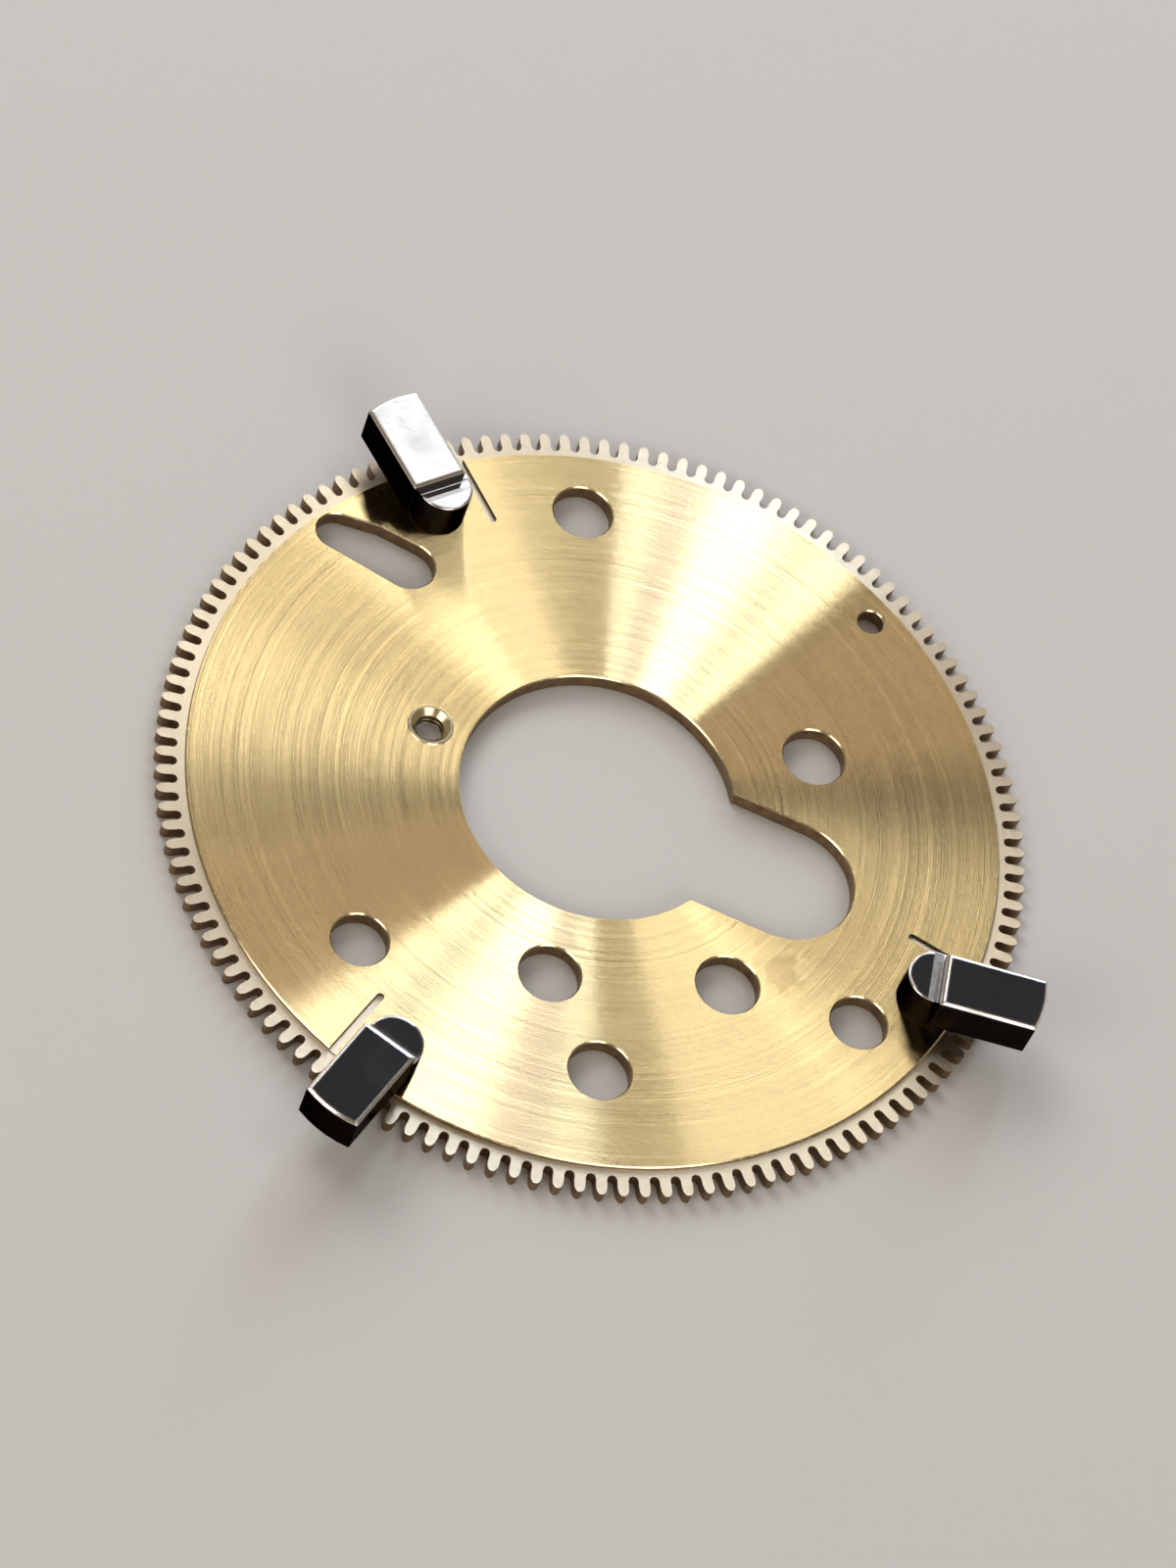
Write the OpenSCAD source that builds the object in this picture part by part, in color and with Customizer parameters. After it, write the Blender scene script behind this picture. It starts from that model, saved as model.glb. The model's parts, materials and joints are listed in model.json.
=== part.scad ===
// Toothed brass carrying plate for a watch movement, with three turnable steel clamps.
// Origin: axis of the central bore at the plate's underside. +X runs along the keyhole slot.
// +Z points out of the grained face. Millimetres.

/* [Plate] */
// Thickness of the plate inside the toothed band
plate_thickness = 0.55; // [0.5:0.05:0.7]
// Diameter of the raised, grained face
face_diameter = 24.66; // [24.4:0.02:24.8]
// How far the toothed band lies below the grained face
band_drop = 0.12; // [0.06:0.01:0.16]
// Chamfer on the face edge and on every opening
edge_chamfer = 0.04; // [0.02:0.01:0.05]

/* [Teeth] */
// Number of teeth round the rim
tooth_count = 129; // [127:1:131]
// Gear module
gear_module = 0.2; // [0.198:0.001:0.202]
// Tooth height above the pitch circle, in modules
addendum = 1.4; // [1.2:0.05:1.5]
// Tooth depth below the pitch circle, in modules
dedendum = 1.8; // [1.4:0.05:1.9]
// Width of the gap between two teeth at its round bottom
gap_width = 0.3; // [0.26:0.01:0.32]
// Width of the blunt end of a tooth
tip_width = 0.1; // [0.08:0.01:0.16]

/* [Keyhole opening] */
// Radius of the central bore
bore_radius = 4.2; // [4:0.05:4.4]
// Half of the slot's width
slot_half_width = 2.04; // [1.9:0.02:2.1]
// Distance from the bore's axis to the centre of the slot's round end
slot_reach = 6.09; // [5.8:0.01:6.3]

/* [Bush] */
// Outside radius of the pressed bush
bush_radius = 0.7; // [0.65:0.01:0.8]
// Radius of its tapped hole
bush_hole_radius = 0.43; // [0.38:0.01:0.45]
// Radius of the chamfered mouth
bush_mouth_radius = 0.6; // [0.5:0.01:0.62]
// How far the bush stands above the face
bush_rise = 0.03; // [0:0.01:0.06]

/* [Clamps] */
// Radius of the round boss
boss_radius = 0.85; // [0.82:0.01:0.88]
// Height of the boss above the face
boss_height = 1.36; // [1.3:0.02:1.5]
// Width of the arm
arm_width = 1.76; // [1.7:0.02:1.8]
// Gap between the face and the underside of the arm
arm_clearance = 0.51; // [0.4:0.01:0.6]
// Height of the arm's top above the face
arm_top = 1.84; // [1.7:0.02:1.95]
// Distance from the pivot to the arm's rounded end
arm_reach = 3.24; // [3:0.02:3.4]
// Width of the brushed ledge at the foot of the step
ledge_width = 0.3; // [0.2:0.01:0.34]
// Bevel on the step's upper edge
step_bevel = 0.1; // [0.05:0.01:0.12]
// Chamfer along the top edges of the arm
arm_chamfer = 0.08; // [0.04:0.01:0.1]

/* [Pivots] */
// Radius of the stem that turns in the plate
stem_radius = 0.4; // [0.36:0.01:0.42]
// Radial clearance of the stem in the plate
stem_clearance = 0.02; // [0.01:0.005:0.03]
// Radius of the screw head under the plate
head_radius = 0.66; // [0.6:0.01:0.7]
// Thickness of the screw head
head_thickness = 0.18; // [0.16:0.01:0.2]
// Thickness of the friction washer
washer_thickness = 0.06; // [0.05:0.01:0.07]

/* [Index marks] */
// Width of the milled mark beside each clamp
mark_width = 0.24; // [0.18:0.01:0.28]
// Depth of the mark
mark_depth = 0.1; // [0.05:0.01:0.12]
// Length of the mark, which runs out past the rim
mark_length = 3.5; // [3.3:0.1:4]

/* [Hidden] */
$fn = 96;
eps = 0.01;
cutter_rise = 1;
disc_foot = 0.1;
bottom_chamfer = 0.04;
step_clearance = 0.02;
pitch_radius = gear_module * tooth_count / 2;
tip_radius = pitch_radius + addendum * gear_module;
root_radius = pitch_radius - dedendum * gear_module;
face_radius = face_diameter / 2;
band_top = plate_thickness - band_drop;
tooth_angle = 360 / tooth_count;

// Plain holes in the plate: [distance from the axis, angle, hole radius]
plain_holes = [
    [10.22, 112.5, 0.93],
    [11.45, 61.2, 0.40],
    [7.06, 39.3, 0.96],
    [9.17, -120.2, 0.85],
    [6.42, -83.2, 0.92],
    [7.07, -37.3, 0.95],
    [10.25, -20.9, 0.86],
    [9.27, -70.0, 0.93]
];

// Bean-shaped slot: [x, y, radius] of the circles it runs round
bean = [
    [-10.41, 5.05, 0.63],
    [-9.25, 5.06, 0.79],
    [-8.03, 4.93, 0.83]
];

bush_place = [-5.38, -0.1];

// Clamps: [pivot distance, pivot angle, arm direction, arm's sideways shift, pivot to step]
clamps = [
    [10.73, 137.9, 139.0, 0.28, 0.02],
    [11.28, -10.2, 9.8, -0.28, 0.14],
    [11.66, -102.3, -104.3, -0.06, 0.28]
];

// Index marks: [inner end's distance, inner end's angle, direction]
marks = [
    [10.06, 129.0, 137.4],
    [10.16, -0.8, -8],
    [10.01, -109.9, -105]
];

// Under the plate each pivot has a round pocket for the washer and the screw head
head_sink = 0.02;
head_top = head_sink + head_thickness;
washer_gap = 0.01;
pocket_depth = head_top + washer_gap + washer_thickness;
head_clearance = 0.07;
pocket_radius = head_radius + head_clearance;
thread_radius = 0.22;
thread_depth = 0.95;
thread_end_gap = 0.1;
foot_gap = 0.01;
driver_slot_width = 0.18;
driver_slot_depth = 0.09;

function polar(r, a) = [r * cos(a), r * sin(a)];

function pivot(i) = polar(clamps[i][0], clamps[i][1]);

// Outline of a tooth and of the round gap after it
gap_radius = gap_width / 2;
gap_centre = root_radius + gap_radius;
gap_steps = 4;
flank_swell = 0.045;
nose_power = 5;
half_pitch = 180 / tooth_count;

function turn(p, a) = [p[0] * cos(a) - p[1] * sin(a), p[0] * sin(a) + p[1] * cos(a)];

function mirrored(points) = [for (i = [len(points) - 1 : -1 : 0]) [points[i][0], -points[i][1]]];

// u runs from 0 at the gap's mouth to 1 at the tooth's end
function flank_point(u) =
    let (r = gap_centre + u * (tip_radius - gap_centre))
    let (half_gap = gap_radius * (1 - flank_swell * u))
    let (half_tooth = r * tan(half_pitch) - half_gap)
    let (round_off = pow(u, nose_power) * (half_tooth - tip_width / 2))
    [r, half_tooth - round_off];

flank = [for (u = [1, 0.94, 0.85, 0.68, 0.35, 0]) flank_point(u)];
tooth = concat(mirrored(flank), flank);

gap_bottom = [
    for (s = [1 : gap_steps - 1])
        turn([gap_centre - gap_radius * sin(180 * s / gap_steps), -gap_radius * cos(180 * s / gap_steps)],
             half_pitch)
];

module tooth_ring_outline() {
    polygon([
        for (k = [0 : tooth_count - 1])
            for (p = concat(tooth, gap_bottom))
                turn(p, k * tooth_angle)
    ]);
}

// Round opening through the plate with a chamfer at both faces
module round_opening(r) {
    t = plate_thickness;
    c = edge_chamfer;
    rotate_extrude()
        polygon([
            [0, -eps], [r + c + eps, -eps], [r, c],
            [r, t - c], [r + c + eps, t + eps], [0, t + eps]
        ]);
}

// Straight-walled opening of a given length along +X with its wall on the x axis
// and its body on the side of +Y, chamfered like the round openings
module wall_opening(len, depth) {
    t = plate_thickness;
    c = edge_chamfer;
    rotate([90, 0, 90])
        linear_extrude(len)
            polygon([
                [depth, -eps], [-c - eps, -eps], [0, c],
                [0, t - c], [-c - eps, t + eps], [depth, t + eps]
            ]);
}

// Opening between two circles a and b, each [x, y, radius], along their outer tangents
module tangent_opening(a, b) {
    dx = b[0] - a[0];
    dy = b[1] - a[1];
    span = sqrt(dx * dx + dy * dy);
    lean = asin((b[2] - a[2]) / span);
    along = atan2(dy, dx);
    wall = span * cos(lean);
    for (side = [-1, 1]) {
        run = along + side * lean;
        start = [a[0], a[1]] + polar(a[2], run + side * 90);
        translate([start[0], start[1], 0])
            rotate(run)
                if (side < 0)
                    wall_opening(wall, a[2]);
                else
                    mirror([0, 1, 0])
                        wall_opening(wall, a[2]);
    }
}

module keyhole_opening() {
    round_opening(bore_radius);
    translate([slot_reach, 0, 0])
        round_opening(slot_half_width);
    for (side = [0, 1])
        mirror([0, side, 0])
            translate([0, -slot_half_width, 0])
                wall_opening(slot_reach, slot_half_width);
}

module bean_opening() {
    for (c = bean)
        translate([c[0], c[1], 0])
            round_opening(c[2]);
    tangent_opening(bean[0], bean[1]);
    tangent_opening(bean[1], bean[2]);
}

module index_mark(m) {
    start = polar(m[0], m[1]);
    translate([start[0], start[1], plate_thickness - mark_depth]) {
        cylinder(r = mark_width / 2, h = cutter_rise, $fn = 32);
        rotate(m[2])
            translate([0, -mark_width / 2, 0])
                cube([mark_length, mark_width, cutter_rise]);
    }
}

module pivot_seat() {
    translate([0, 0, -eps]) {
        cylinder(r = stem_radius + stem_clearance, h = plate_thickness + 2 * eps);
        cylinder(r = pocket_radius, h = pocket_depth + eps);
    }
}

module gear_plate() {
    color("goldenrod")
        difference() {
            union() {
                linear_extrude(band_top)
                    tooth_ring_outline();
                rotate_extrude($fn = 180)
                    polygon([
                        [0, disc_foot], [face_radius, disc_foot],
                        [face_radius, plate_thickness - edge_chamfer],
                        [face_radius - edge_chamfer, plate_thickness], [0, plate_thickness]
                    ]);
            }
            keyhole_opening();
            bean_opening();
            for (h = plain_holes)
                translate(polar(h[0], h[1]))
                    round_opening(h[2]);
            translate(concat(bush_place, -eps))
                cylinder(r = bush_radius, h = plate_thickness + 2 * eps);
            for (i = [0 : 2])
                translate(pivot(i))
                    pivot_seat();
            for (m = marks)
                index_mark(m);
        }
}

module threaded_bush() {
    top = plate_thickness + bush_rise;
    mouth = bush_mouth_radius - bush_hole_radius;
    color("khaki")
        translate(bush_place)
            rotate_extrude()
                polygon([
                    [bush_hole_radius, 0], [bush_radius, 0], [bush_radius, top - bush_rise],
                    [bush_radius - bush_rise, top], [bush_mouth_radius, top],
                    [bush_hole_radius, top - mouth]
                ]);
}

// Boss, stem and tapped hole as one turned shape, standing on the pivot axis
module boss() {
    foot = plate_thickness + foot_gap;
    top = plate_thickness + boss_height;
    rotate_extrude()
        polygon([
            [thread_radius, head_top], [stem_radius, head_top], [stem_radius, foot],
            [boss_radius - bottom_chamfer, foot], [boss_radius, foot + bottom_chamfer],
            [boss_radius, top - edge_chamfer], [boss_radius - edge_chamfer, top],
            [0, top], [0, thread_depth], [thread_radius, thread_depth]
        ]);
}

// Bar of the arm, before its inner end is cut
module arm_bar(shift) {
    low = plate_thickness + arm_clearance;
    top = plate_thickness + arm_top;
    c = arm_chamfer;
    half = arm_width / 2;
    intersection() {
        translate([0, shift, 0])
            rotate([90, 0, 90])
                linear_extrude(arm_reach + cutter_rise)
                    polygon([
                        [-half, low], [half, low], [half, top - c],
                        [half - c, top], [-half + c, top], [-half, top - c]
                    ]);
        rotate_extrude($fn = 180)
            polygon([
                [0, low - cutter_rise], [arm_reach, low - cutter_rise], [arm_reach, top - c],
                [arm_reach - c, top], [0, top]
            ]);
    }
}

module clamp(i) {
    shift = clamps[i][3];
    step_x = clamps[i][4];
    top = plate_thickness + arm_top;
    ledge_top = plate_thickness + boss_height - step_clearance;
    wide = 2 * arm_width;
    color("silver")
        translate(pivot(i))
            rotate(clamps[i][2])
                difference() {
                    union() {
                        boss();
                        difference() {
                            arm_bar(shift);
                            translate([step_x - wide, -wide / 2, 0])
                                cube(wide);
                        }
                    }
                    translate([step_x - ledge_width, -wide / 2, ledge_top])
                        cube([ledge_width, wide, arm_top]);
                    translate([step_x, 0, top - step_bevel])
                        rotate([0, -45, 0])
                            translate([-eps, -wide / 2, 0])
                                cube([arm_width, wide, arm_width]);
                }
}

module pivot_screw(i) {
    color("slategray")
        translate(pivot(i))
            rotate(clamps[i][2])
                difference() {
                    union() {
                        translate([0, 0, head_sink])
                            cylinder(r = head_radius, h = head_thickness);
                        translate([0, 0, head_sink])
                            cylinder(r = thread_radius, h = thread_depth - head_sink - thread_end_gap);
                    }
                    translate([-pocket_radius, -driver_slot_width / 2, 0])
                        cube([2 * pocket_radius, driver_slot_width, head_sink + driver_slot_depth]);
                }
}

module friction_washer(i) {
    inner = stem_radius + stem_clearance;
    color("peru")
        translate(pivot(i))
            rotate_extrude()
                polygon([
                    [inner, pocket_depth - washer_thickness],
                    [head_radius, pocket_depth - washer_thickness],
                    [head_radius, pocket_depth], [inner, pocket_depth]
                ]);
}

gear_plate();
threaded_bush();
clamp(0);  // clamp_1
clamp(1);  // clamp_2
clamp(2);  // clamp_3
pivot_screw(0);  // pivot_screw_1
pivot_screw(1);  // pivot_screw_2
pivot_screw(2);  // pivot_screw_3
friction_washer(0);  // friction_washer_1
friction_washer(1);  // friction_washer_2
friction_washer(2);  // friction_washer_3
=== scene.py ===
import json
import math

import bpy
from mathutils import Matrix, Vector


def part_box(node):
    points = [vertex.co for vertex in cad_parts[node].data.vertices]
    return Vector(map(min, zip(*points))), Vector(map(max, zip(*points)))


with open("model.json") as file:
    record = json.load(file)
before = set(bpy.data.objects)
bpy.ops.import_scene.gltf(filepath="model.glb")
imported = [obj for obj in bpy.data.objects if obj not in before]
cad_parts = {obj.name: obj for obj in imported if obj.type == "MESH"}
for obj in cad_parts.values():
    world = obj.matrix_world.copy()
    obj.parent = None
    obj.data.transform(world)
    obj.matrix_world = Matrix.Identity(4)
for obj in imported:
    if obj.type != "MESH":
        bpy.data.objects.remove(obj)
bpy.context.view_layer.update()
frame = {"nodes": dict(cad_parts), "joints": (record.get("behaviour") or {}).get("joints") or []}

MM = 0.001

# Levels and radii of the assembly. The plate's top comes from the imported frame, the others are
# the sizes in part.scad, used only to tell faces apart.
plate_low, plate_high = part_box("gear_plate")
FACE_Z = plate_high.z
HAIR = 0.01 * MM
BAND_DROP_LIMIT = 0.2 * MM
MARK_DEPTH = 0.1 * MM
MARK_REACH = 12.25 * MM
THREAD_REACH = 0.5 * MM
BOSS_TOP = FACE_Z + 1.36 * MM
LEDGE_TOP = BOSS_TOP - 0.02 * MM
# How steep a face has to be, by its normal's Z, to count as level or as a chamfer
LEVEL, CHAMFER = 0.99, 0.3
CLAMPS = ("clamp_1", "clamp_2", "clamp_3")
LEDGE_FINISH = {"clamp_1": 0, "clamp_2": 1, "clamp_3": 1}
PIVOTS = {j["child"]: Vector(j["pos_m"]) for j in frame["joints"]}


# ---------------------------------------------------------------- node helpers

def new_material(name, colour, metallic, roughness, anisotropy=0.0):
    """A Principled material whose even values sit on the shader's own sockets."""
    material = bpy.data.materials.new(name)
    material.use_nodes = True
    shader = material.node_tree.nodes["Principled BSDF"]
    shader.inputs["Base Color"].default_value = (*colour, 1.0)
    shader.inputs["Metallic"].default_value = metallic
    shader.inputs["Roughness"].default_value = roughness
    shader.inputs["Anisotropic"].default_value = anisotropy
    return material, material.node_tree, shader


def add(tree, kind, **settings):
    """A new node. A setting named after a socket fills it, any other sets a property."""
    node = tree.nodes.new(kind)
    for key, value in settings.items():
        if hasattr(node, key):
            setattr(node, key, value)
        else:
            socket = node.inputs[key.replace("_", " ")]
            if isinstance(value, bpy.types.NodeSocket):
                tree.links.new(value, socket)
            else:
                socket.default_value = value
    return node


def math_node(tree, operation, a, b=0.0, clamp=False):
    node = tree.nodes.new("ShaderNodeMath")
    node.operation = operation
    node.use_clamp = clamp
    for socket, value in zip(node.inputs, (a, b)):
        if isinstance(value, bpy.types.NodeSocket):
            tree.links.new(value, socket)
        else:
            socket.default_value = value
    return node.outputs[0]


def mapped(tree, value, from_low, from_high, to_low, to_high):
    node = tree.nodes.new("ShaderNodeMapRange")
    tree.links.new(value, node.inputs["Value"])
    for name, number in (("From Min", from_low), ("From Max", from_high),
                         ("To Min", to_low), ("To Max", to_high)):
        node.inputs[name].default_value = number
    return node.outputs["Result"]


def mixed(tree, factor, colour_a, colour_b):
    node = tree.nodes.new("ShaderNodeMix")
    node.data_type = "RGBA"
    tree.links.new(factor, node.inputs["Factor"])
    for socket, value in ((node.inputs[6], colour_a), (node.inputs[7], colour_b)):
        if isinstance(value, bpy.types.NodeSocket):
            tree.links.new(value, socket)
        else:
            socket.default_value = (*value, 1.0)
    return node.outputs[2]


def millimetres(tree):
    """The surface point in millimetres, in the frame's own axes."""
    place = tree.nodes.new("ShaderNodeTexCoord").outputs["Object"]
    scale = tree.nodes.new("ShaderNodeVectorMath")
    scale.operation = "SCALE"
    scale.inputs["Scale"].default_value = 1 / MM
    tree.links.new(place, scale.inputs[0])
    return scale.outputs[0]


def ring_point(tree, centre=(0.0, 0.0), along=1.0, across=1.0):
    """Radius and direction round a vertical axis, as a vector that a noise reads as long arcs."""
    point = millimetres(tree)
    split = add(tree, "ShaderNodeSeparateXYZ", Vector=point)
    x = math_node(tree, "SUBTRACT", split.outputs["X"], centre[0])
    y = math_node(tree, "SUBTRACT", split.outputs["Y"], centre[1])
    square_x = math_node(tree, "MULTIPLY", x, x)
    square_y = math_node(tree, "MULTIPLY", y, y)
    radius = math_node(tree, "SQRT", math_node(tree, "ADD", square_x, square_y))
    unit_x = math_node(tree, "DIVIDE", x, radius)
    unit_y = math_node(tree, "DIVIDE", y, radius)
    join = tree.nodes.new("ShaderNodeCombineXYZ")
    for socket, value in zip(join.inputs, (math_node(tree, "MULTIPLY", radius, across),
                                           math_node(tree, "MULTIPLY", unit_x, along),
                                           math_node(tree, "MULTIPLY", unit_y, along))):
        tree.links.new(value, socket)
    return join.outputs[0], radius


def vector_math(tree, operation, a, b=None, scale=None):
    node = tree.nodes.new("ShaderNodeVectorMath")
    node.operation = operation
    tree.links.new(a, node.inputs[0])
    if b is not None:
        tree.links.new(b, node.inputs[1])
    if scale is not None:
        if isinstance(scale, bpy.types.NodeSocket):
            tree.links.new(scale, node.inputs["Scale"])
        else:
            node.inputs["Scale"].default_value = scale
    return node.outputs["Vector"]


def noise(tree, vector, scale=1.0, detail=2.0, roughness=0.5):
    node = add(tree, "ShaderNodeTexNoise", Vector=vector, Scale=scale, Detail=detail,
               Roughness=roughness)
    return node.outputs["Fac"]


def feed(tree, shader, socket, value):
    """Joins a value that changes over the surface to one of the shader's sockets."""
    tree.links.new(value, shader.inputs[socket])


def bump(tree, shader, *layers, start=None):
    """Chains bump layers of (height, depth in metres) into the shader's normal."""
    normal = start
    for height, depth in layers:
        node = tree.nodes.new("ShaderNodeBump")
        node.inputs["Distance"].default_value = depth
        tree.links.new(height, node.inputs["Height"])
        if normal is not None:
            tree.links.new(normal, node.inputs["Normal"])
        normal = node.outputs["Normal"]
    tree.links.new(normal, shader.inputs["Normal"])


# ---------------------------------------------------------------- materials

# Fine turning grooves: how many there are, and how far their sides lean inward or outward
GROOVES_PER_MM = 3000
GROOVE_SLOPE = 0.42
RING_SLOPE = 0.035
THREAD_PITCH_MM = 0.18
BUSH_PLACE_MM = (-5.38, -0.1)
STAIN_PLACE_MM = (6.84, -3.17, 0.55)
STAIN_RADIUS_MM = 0.75


def radial_tilt(tree, point, radius, ring):
    """A small vector along the radius, which leans the normal as the turning grooves do."""
    groove = math_node(tree, "FLOOR", math_node(tree, "MULTIPLY", radius, GROOVES_PER_MM))
    lean = add(tree, "ShaderNodeTexWhiteNoise", noise_dimensions="1D", W=groove).outputs["Value"]
    level = add(tree, "ShaderNodeCombineXYZ", X=1.0, Y=1.0, Z=0.0).outputs[0]
    outward = vector_math(tree, "NORMALIZE", vector_math(tree, "MULTIPLY", point, level))
    slope = math_node(tree, "ADD", mapped(tree, lean, 0.0, 1.0, -GROOVE_SLOPE, GROOVE_SLOPE),
                      mapped(tree, ring, 0.0, 1.0, -RING_SLOPE, RING_SLOPE))
    return vector_math(tree, "SCALE", outward, scale=slope)


def scratches(tree, point, turn, wide=22.0):
    """Sparse hairlines that run in one direction, 0 to 1."""
    placed = add(tree, "ShaderNodeMapping", vector_type="POINT", Vector=point)
    placed.inputs["Rotation"].default_value = (0, 0, math.radians(turn))
    placed.inputs["Scale"].default_value = (1.5, wide, 1.0)
    return mapped(tree, noise(tree, placed.outputs[0], detail=1.0), 0.69, 0.77, 0.0, 1.0)


def turned_brass(name, colour, worn_colour, roughness, anisotropy=1.0, stained=False):
    """Brass turned with a fine concentric grain, which spreads light across the grain only."""
    material, tree, shader = new_material(name, colour, 1.0, roughness, anisotropy)
    tangent = add(tree, "ShaderNodeTangent", direction_type="RADIAL", axis="Z")
    feed(tree, shader, "Tangent", tangent.outputs[0])
    shader.inputs["Anisotropic Rotation"].default_value = 0.25
    rings, radius = ring_point(tree, across=3.2, along=1.2)
    point = millimetres(tree)
    ring = noise(tree, rings, detail=4.0, roughness=0.65)
    cloud = noise(tree, point, scale=0.35, detail=3.0)
    ring_share = math_node(tree, "MULTIPLY", ring, 1.4)
    cloud_share = math_node(tree, "MULTIPLY", cloud, 0.6)
    tone = math_node(tree, "ADD", ring_share, cloud_share)
    tint = mixed(tree, mapped(tree, tone, 0.6, 1.4, 0.0, 1.0), colour, worn_colour)
    hairlines = math_node(tree, "MAXIMUM", scratches(tree, point, 20), scratches(tree, point, -65))
    pale = tuple(min(1.0, c * 1.12) for c in worn_colour)
    tint = mixed(tree, math_node(tree, "MULTIPLY", hairlines, 0.6), tint, pale)
    rough = mapped(tree, ring, 0.3, 0.7, roughness - 0.015, roughness + 0.015)
    if stained:
        away = tree.nodes.new("ShaderNodeVectorMath")
        away.operation = "DISTANCE"
        tree.links.new(point, away.inputs[0])
        away.inputs[1].default_value = STAIN_PLACE_MM
        ragged = mapped(tree, noise(tree, point, scale=1.6, detail=3.0), 0.0, 1.0, -0.9, 0.9)
        stain = mapped(tree, math_node(tree, "ADD", away.outputs["Value"], ragged),
                       STAIN_RADIUS_MM, STAIN_RADIUS_MM - 0.3, 0.0, 0.45)
        tint = mixed(tree, stain, tint, (0.50, 0.36, 0.18))
    feed(tree, shader, "Base Color", tint)
    feed(tree, shader, "Roughness", rough)
    level = tree.nodes.new("ShaderNodeNewGeometry").outputs["Normal"]
    leaning = vector_math(tree, "ADD", level, radial_tilt(tree, point, radius, ring))
    grooved = vector_math(tree, "NORMALIZE", leaning)
    bump(tree, shader, (hairlines, 0.0002 * MM), start=grooved)
    return material


def painted_shade_cut_brass(name, dark, pale):
    """Walls of the openings and flanks of the teeth, as brown and dull as the photo shows them: their
    dark brown colour is painted shade and painted dark reflection.
    """
    material, tree, shader = new_material(name, dark, 1.0, 0.42)
    point = millimetres(tree)
    cloud = noise(tree, point, scale=3.0, detail=3.0)
    patchy = mixed(tree, mapped(tree, cloud, 0.3, 0.7, 0.0, 1.0), dark, pale)
    feed(tree, shader, "Base Color", patchy)
    feed(tree, shader, "Roughness", mapped(tree, cloud, 0.3, 0.7, 0.34, 0.5))
    bump(tree, shader, (noise(tree, point, scale=9.0, detail=1.0), 0.001 * MM))
    return material


def edge_brass():
    """Bright chamfers round the openings and the face."""
    material, tree, shader = new_material("edge_brass", (0.93, 0.80, 0.52), 1.0, 0.2)
    point = millimetres(tree)
    feed(tree, shader, "Roughness", mapped(tree, noise(tree, point, scale=5.0), 0.3, 0.7, 0.14, 0.30))
    bump(tree, shader, (noise(tree, point, scale=6.0, detail=1.0), 0.0006 * MM))
    return material


def bush_brass():
    """The bush's faced top and chamfered mouth."""
    material, tree, shader = new_material("bush_brass", (0.92, 0.81, 0.55), 1.0, 0.25)
    fine, _ = ring_point(tree, BUSH_PLACE_MM, across=12.0, along=1.0)
    bump(tree, shader, (noise(tree, fine, detail=1.0), 0.0015 * MM))
    cloud = noise(tree, millimetres(tree), scale=4.0)
    feed(tree, shader, "Roughness", mapped(tree, cloud, 0.3, 0.7, 0.18, 0.32))
    return material


def bush_thread():
    """The tapped wall of the bush: ridges that climb once round the hole in each pitch, with painted
    shade in the roots and painted highlight on the crests.
    """
    material, tree, shader = new_material("bush_thread", (0.42, 0.31, 0.17), 1.0, 0.28)
    split = add(tree, "ShaderNodeSeparateXYZ", Vector=millimetres(tree))
    x = math_node(tree, "SUBTRACT", split.outputs["X"], BUSH_PLACE_MM[0])
    y = math_node(tree, "SUBTRACT", split.outputs["Y"], BUSH_PLACE_MM[1])
    rise = math_node(tree, "MULTIPLY", split.outputs["Z"], math.tau / THREAD_PITCH_MM)
    ridge = math_node(tree, "SINE", math_node(tree, "ADD", rise, math_node(tree, "ARCTAN2", y, x)))
    # Colour runs from near black in the thread's roots to pale on its crests: painted shade and
    # painted highlight.
    crest_light_root_shade = mapped(tree, ridge, -0.6, 0.8, 0.0, 1.0)
    feed(tree, shader, "Base Color", mixed(tree, crest_light_root_shade, (0.05, 0.035, 0.02), (0.60, 0.50, 0.31)))
    bump(tree, shader, (ridge, 0.04 * MM))
    return material


def rounded(tree, radius):
    """A normal that rounds sharp edges off, so that they catch the light."""
    node = tree.nodes.new("ShaderNodeBevel")
    node.samples = 6
    node.inputs["Radius"].default_value = radius
    return node.outputs["Normal"]


def polished_steel(name, colour, low_roughness, high_roughness, smudge, edge=0.05):
    """Steel whose tone changes in soft smudges, with a few hairline scratches."""
    material, tree, shader = new_material(name, colour, 1.0, low_roughness)
    point = millimetres(tree)
    cloud = mapped(tree, noise(tree, point, scale=1.1, detail=4.0), 0.45, 0.75, 0.0, 1.0)
    hairlines = math_node(tree, "MAXIMUM", scratches(tree, point, 55, 30.0),
                          scratches(tree, point, -20, 30.0))
    wear = math_node(tree, "MAXIMUM", cloud, math_node(tree, "MULTIPLY", hairlines, 0.8))
    dull = tuple(c * (1 - smudge) for c in colour)
    feed(tree, shader, "Base Color", mixed(tree, cloud, colour, dull))
    feed(tree, shader, "Roughness", mapped(tree, wear, 0.0, 1.0, low_roughness, high_roughness))
    bump(tree, shader, (hairlines, 0.00015 * MM), start=rounded(tree, edge * MM))
    return material


def side_steel():
    """The arm's and the boss's side walls.

    Their own colour is near black, because that is how they look in the photo, where they mirror
    dark surroundings. Real polished walls would mirror what is round them.
    """
    material = polished_steel("side_steel", (0.035, 0.03, 0.028), 0.22, 0.32, 0.3, 0.03)
    shader = material.node_tree.nodes["Principled BSDF"]
    shader.inputs["Specular Tint"].default_value = (0.15, 0.12, 0.10, 1.0)
    return material


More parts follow.
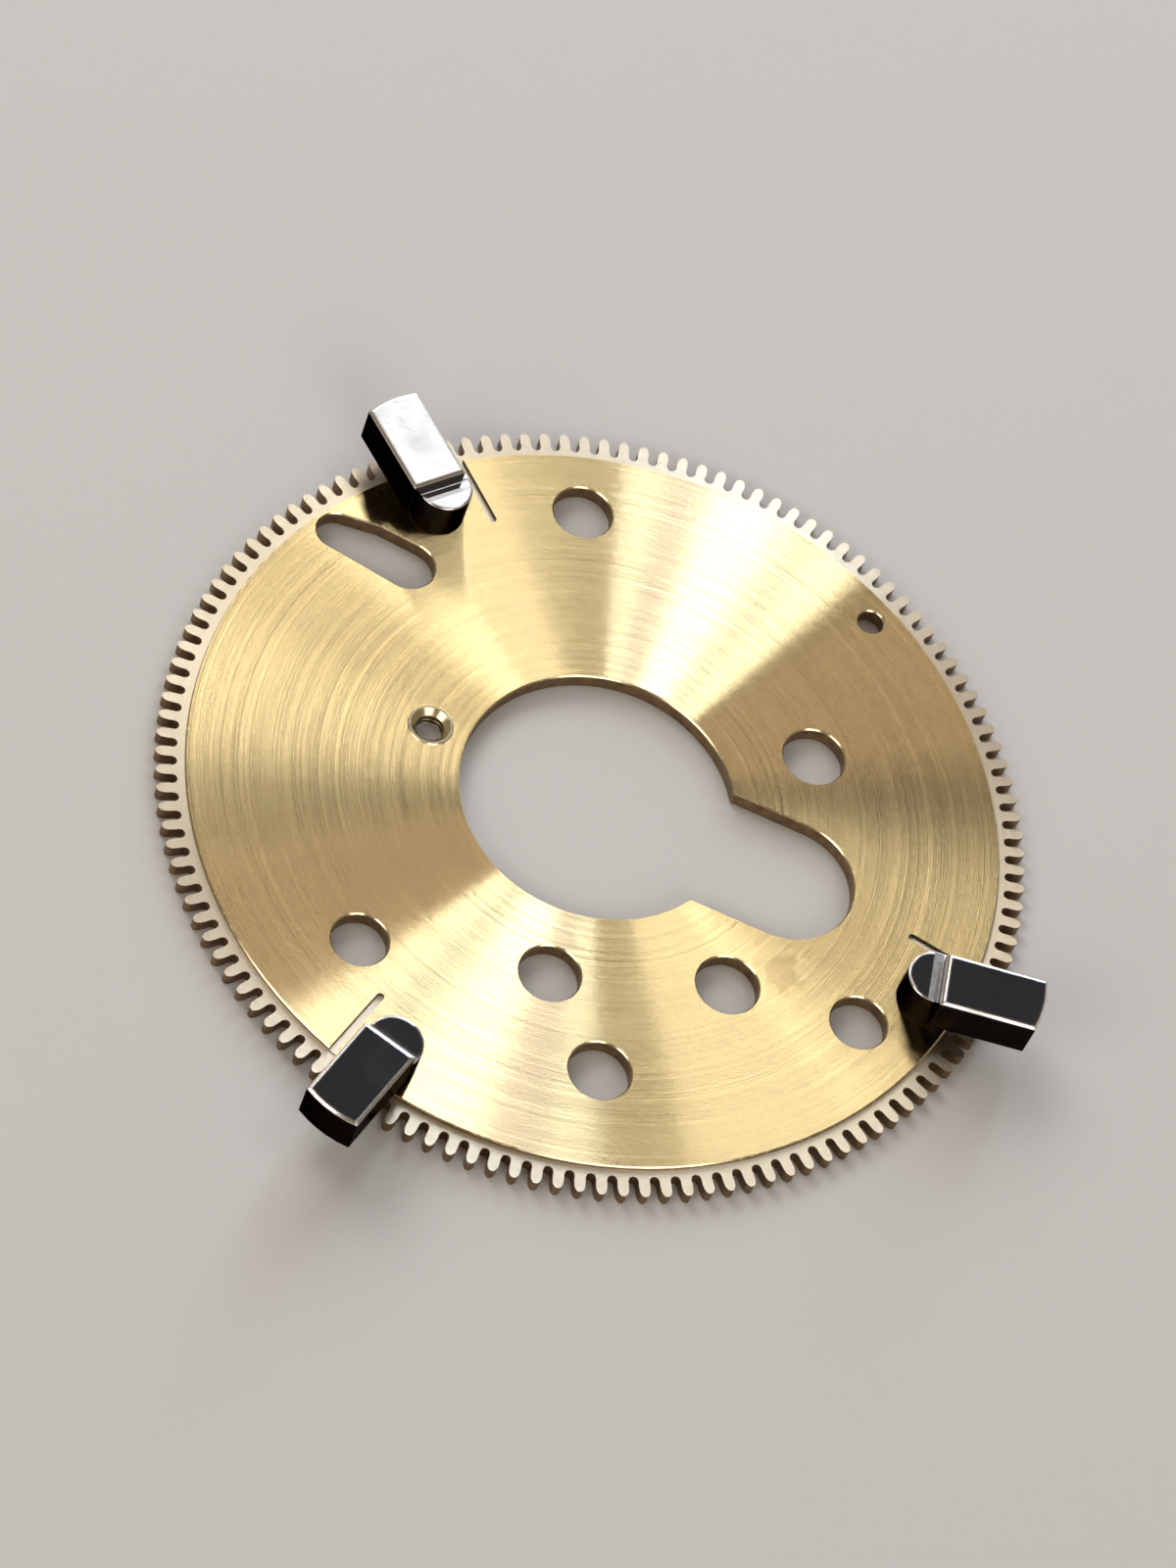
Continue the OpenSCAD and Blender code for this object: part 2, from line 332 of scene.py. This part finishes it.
def brushed_steel(name, colour, roughness):
    """Steel left with the lines of the file or the grinding wheel."""
    material, tree, shader = new_material(name, colour, 1.0, roughness)
    point = millimetres(tree)
    grain = noise(tree, point, scale=11.0, detail=3.0, roughness=0.7)
    pale = tuple(min(1.0, c * 1.3) for c in colour)
    streaks = mixed(tree, mapped(tree, grain, 0.35, 0.65, 0.0, 1.0), colour, pale)
    feed(tree, shader, "Base Color", streaks)
    feed(tree, shader, "Roughness", mapped(tree, grain, 0.3, 0.7, roughness - 0.08, roughness + 0.08))
    bump(tree, shader, (grain, 0.002 * MM), start=rounded(tree, 0.03 * MM))
    return material


def washer_bronze():
    """The friction washers' rolled spring bronze."""
    material, tree, shader = new_material("washer_bronze", (0.66, 0.42, 0.22), 1.0, 0.3)
    point = millimetres(tree)
    feed(tree, shader, "Roughness", mapped(tree, noise(tree, point, scale=6.0), 0.3, 0.7, 0.22, 0.4))
    bump(tree, shader, (noise(tree, point, scale=9.0, detail=1.0), 0.0008 * MM))
    return material


def floor_paint():
    """The plain pale floor, which isn't part of the object."""
    material, _, _ = new_material("floor_paint", (0.72, 0.72, 0.72), 0.0, 0.7)
    return material


def dress(node, materials, choose=None):
    """Gives a CAD node its materials; choose(face) returns the place in the list for a face."""
    mesh = frame["nodes"][node].data
    mesh.materials.clear()
    for material in materials:
        mesh.materials.append(material)
    if choose:
        for face in mesh.polygons:
            face.material_index = choose(face)


def plate_finish(face):
    """0 grained face, 1 toothed band, 2 cut walls with painted shade, 3 chamfers, 4 underside, 5 the
    marks' walls with painted shade.
    """
    up = face.normal.z
    if up > LEVEL:
        if face.center.z > FACE_Z - HAIR:
            return 0
        return 1 if face.center.z > FACE_Z - BAND_DROP_LIMIT else 2
    if up > CHAMFER:
        return 3
    if up < -LEVEL:
        return 4
    shallow = face.center.z > FACE_Z - MARK_DEPTH
    return 5 if shallow and math.hypot(face.center.x, face.center.y) < MARK_REACH else 2


def bush_finish(face):
    """0 top and chamfers, 1 tapped wall."""
    middle = (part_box("threaded_bush")[0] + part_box("threaded_bush")[1]) / 2
    away = math.hypot(face.center.x - middle.x, face.center.y - middle.y)
    return 1 if abs(face.normal.z) < 0.1 and away < THREAD_REACH else 0


def clamp_finish(pivot, ledge):
    """Chooser for a clamp: 0 polished tops, 1 brushed ledge, 2 side walls, 3 chamfers, 4 step wall
    with painted shade.

    ledge is the finish of the ledge at the foot of the step.
    """
    def choose(face):
        up = face.normal.z
        if up > LEVEL:
            return ledge if abs(face.center.z - LEDGE_TOP) < HAIR / 2 else 0
        if up > CHAMFER:
            return 3
        faces_pivot = face.normal.dot(face.center - pivot) < 0
        return 4 if faces_pivot and face.center.z > LEDGE_TOP - HAIR else 2
    return choose


def make_finishes():
    face = turned_brass("grained_brass_face", (0.82, 0.65, 0.335), (0.89, 0.71, 0.37), 0.17,
                        stained=True)
    band = turned_brass("toothed_band_brass", (0.93, 0.82, 0.62), (0.97, 0.88, 0.70), 0.40, 0.8)
    underside = turned_brass("underside_brass", (0.80, 0.62, 0.33), (0.86, 0.68, 0.38), 0.2)
    # The cut walls and teeth flanks get a dark brown colour that is painted shade and painted dark
    # reflection, not the brass's own colour.
    walls = painted_shade_cut_brass("painted_shade_cut_brass", (0.20, 0.125, 0.07), (0.36, 0.25, 0.14))
    # The marks' walls get a near-black colour: painted shade standing in for the dark inside of the
    # shallow marks.
    painted_shade_mark_walls = painted_shade_cut_brass("mark_wall_painted_shade_brass", (0.05, 0.033, 0.02), (0.10, 0.07, 0.04))
    dress("gear_plate", [face, band, walls, edge_brass(), underside, painted_shade_mark_walls], plate_finish)
    dress("threaded_bush", [bush_brass(), bush_thread()], bush_finish)
    clamp_steels = [polished_steel("polished_steel", (0.74, 0.74, 0.75), 0.07, 0.12, 0.08, 0.1),
                    brushed_steel("brushed_steel", (0.50, 0.50, 0.49), 0.36),
                    side_steel(),
                    polished_steel("chamfer_steel", (0.90, 0.89, 0.88), 0.16, 0.26, 0.2, 0.08),
                    # The step wall's near-black colour is painted shade, not the steel's own colour.
                    brushed_steel("step_wall_painted_shade_steel", (0.025, 0.021, 0.02), 0.4)]
    screws = brushed_steel("screw_steel", (0.42, 0.43, 0.46), 0.32)
    bronze = washer_bronze()
    for i, clamp in enumerate(CLAMPS, 1):
        dress(clamp, clamp_steels, clamp_finish(PIVOTS[clamp], LEDGE_FINISH[clamp]))
        dress(f"pivot_screw_{i}", [screws])
        dress(f"friction_washer_{i}", [bronze])


make_finishes()


# ---------------------------------------------------------------- camera, floor and lights

VIEW_ELEVATION = math.radians(55.13)
VIEW_ROLL = math.radians(23.69)
VIEW_DISTANCE = 144.9 * MM
VIEW_LENS = 112.6
AIM = Vector((-0.43 * MM, 0.23 * MM, FACE_Z))
FLOOR_HALF = 2.0


def make_camera():
    data = bpy.data.cameras.new("camera")
    data.lens = VIEW_LENS
    data.sensor_width = 36.0
    data.clip_start, data.clip_end = 0.001, 10.0
    camera = bpy.data.objects.new("camera", data)
    bpy.context.scene.collection.objects.link(camera)
    forward = Vector((0, math.cos(VIEW_ELEVATION), -math.sin(VIEW_ELEVATION)))
    level = Vector((1, 0, 0))
    upward = level.cross(forward)
    right = math.cos(VIEW_ROLL) * level + math.sin(VIEW_ROLL) * upward
    up = -math.sin(VIEW_ROLL) * level + math.cos(VIEW_ROLL) * upward
    turn = Matrix((right, up, -forward)).transposed().to_4x4()
    camera.matrix_world = Matrix.Translation(AIM - forward * VIEW_DISTANCE) @ turn
    bpy.context.scene.camera = camera


def make_floor():
    mesh = bpy.data.meshes.new("floor")
    z = plate_low.z - HAIR
    corners = [(x * FLOOR_HALF, y * FLOOR_HALF, z) for x, y in ((-1, -1), (1, -1), (1, 1), (-1, 1))]
    mesh.from_pydata(corners, [], [(0, 1, 2, 3)])
    floor = bpy.data.objects.new("floor", mesh)
    floor.data.materials.append(floor_paint())
    bpy.context.scene.collection.objects.link(floor)


def area_light(name, place, size, brightness, colour=(1, 1, 1)):
    """A rectangular soft light that faces the object. brightness is what a mirror would show."""
    data = bpy.data.lights.new(name, "AREA")
    data.shape = "RECTANGLE"
    data.size, data.size_y = size
    data.color = colour
    data.energy = brightness * math.pi * size[0] * size[1]
    light = bpy.data.objects.new(name, data)
    bpy.context.scene.collection.objects.link(light)
    place = Vector(place)
    facing = place.to_track_quat("Z", "Y").to_matrix().to_4x4()
    light.matrix_world = Matrix.Translation(place) @ facing
    return light


# The panel behind the object is brighter in some wedges than in others. The face's grain turns
# each direction round the mirrored line of sight into one radius of the plate. The wedges were
# set so that the main view's highlights fall where the photo's do. They belong to the
# light and not to the object. Each is (degrees from +X, brightness, tint).
PANEL_PLACE = (0.0, 0.60, 0.26)
PANEL_SIZE = (0.50, 0.36)
PANEL_START, PANEL_END = 60, 112
PANEL_WEDGES = (
    (64.5, 0.2, (1.0, 0.9, 0.8)),
    (66.5, 6.5, (0.90, 0.94, 1.0)),
    (71.5, 6.5, (0.84, 0.90, 1.0)),
    (75, 4.5, (0.68, 0.84, 1.0)),
    (78.5, 6.5, (0.80, 0.88, 1.0)),
    (83, 9.5, (0.84, 0.92, 1.0)),
    (91, 9.0, (0.84, 0.92, 1.0)),
    (93.5, 5.0, (0.80, 0.76, 1.0)),
    (98, 4.4, (0.74, 0.76, 1.0)),
    (101, 4.4, (0.70, 0.80, 1.0)),
    (106.6, 4.2, (0.72, 0.82, 1.0)),
    (107.6, 0.2, (1.0, 0.9, 0.8)),
)


def make_panel():
    """The softbox behind the object, whose brightness and slight tint change in wedges."""
    light = area_light("panel", PANEL_PLACE, PANEL_SIZE, 1.0)
    data = light.data
    data.energy = math.pi * PANEL_SIZE[0] * PANEL_SIZE[1]
    data.use_nodes = True
    tree = data.node_tree
    place = tree.nodes.new("ShaderNodeNewGeometry").outputs["Position"]
    unit = tree.nodes.new("ShaderNodeVectorMath")
    unit.operation = "NORMALIZE"
    tree.links.new(place, unit.inputs[0])
    split = add(tree, "ShaderNodeSeparateXYZ", Vector=unit.outputs[0])
    depth = math_node(tree, "SUBTRACT", split.outputs["Y"], math.cos(VIEW_ELEVATION))
    angle = math_node(tree, "ARCTAN2", depth, split.outputs["X"])
    place = mapped(tree, angle, math.radians(PANEL_START), math.radians(PANEL_END), 0.0, 1.0)
    brightest = max(wedge[1] for wedge in PANEL_WEDGES)
    ramp = tree.nodes.new("ShaderNodeValToRGB")
    tree.links.new(place, ramp.inputs["Fac"])
    stops = ramp.color_ramp.elements
    for i, (degrees, level, tint) in enumerate(PANEL_WEDGES):
        spot = (degrees - PANEL_START) / (PANEL_END - PANEL_START)
        stop = stops[i] if i < 2 else stops.new(spot)
        stop.position = spot
        stop.color = (*(level / brightest * c for c in tint), 1.0)
    emission = tree.nodes["Emission"]
    emission.inputs["Strength"].default_value = brightest
    tree.links.new(ramp.outputs["Color"], emission.inputs["Color"])


def make_world():
    """Even dim surroundings with a darker part behind the object, which its flat tops mirror."""
    world = bpy.data.worlds.new("studio")
    world.use_nodes = True
    tree = world.node_tree
    direction = tree.nodes.new("ShaderNodeTexCoord").outputs["Generated"]
    dot = tree.nodes.new("ShaderNodeVectorMath")
    dot.operation = "DOT_PRODUCT"
    tree.links.new(direction, dot.inputs[0])
    dot.inputs[1].default_value = (0, math.cos(VIEW_ELEVATION), math.sin(VIEW_ELEVATION))
    fade = mapped(tree, dot.outputs["Value"], 0.80, 0.98, 0.0, 1.0)
    colour = mixed(tree, fade, (0.19, 0.15, 0.105), (0.032, 0.031, 0.033))
    tree.links.new(colour, tree.nodes["Background"].inputs["Color"])
    bpy.context.scene.world = world


# Soft lights round the object: (name, place, size, brightness, colour), in metres
WHITE = (1.0, 1.0, 1.0)
LIGHTS = (
    ("right", (0.222, 0.144, 0.538), (0.16, 0.16), 1.75, WHITE),
    ("right_upper", (0.156, 0.203, 0.543), (0.13, 0.13), 1.2, WHITE),
    ("left_rear", (-0.134, 0.464, 0.356), (0.12, 0.12), 0.9, WHITE),
    ("left_back", (-0.33, 0.36, 0.36), (0.40, 0.26), 2.6, (1.0, 0.95, 0.88)),
    ("left_upper", (-0.36, 0.22, 0.42), (0.30, 0.26), 1.6, WHITE),
    ("rear", (-0.185, 0.555, 0.26), (0.30, 0.16), 2.8, WHITE),
    ("left_front", (-0.170, 0.138, 0.560), (0.16, 0.16), 1.8, (1.0, 0.85, 0.80)),
    ("back", (-0.032, 0.366, 0.474), (0.06, 0.06), 1.4, WHITE),
    ("front_left", (-0.36, -0.44, 0.34), (0.40, 0.30), 2.2, (1.0, 0.96, 0.90)),
    ("front_right", (0.36, -0.44, 0.34), (0.40, 0.30), 2.2, (1.0, 0.96, 0.90)),
)


def make_lights():
    make_world()
    make_panel()
    for name, place, size, brightness, colour in LIGHTS:
        area_light(name, place, size, brightness, colour)


make_camera()
make_floor()
make_lights()
bpy.context.scene.view_settings.view_transform = "Standard"
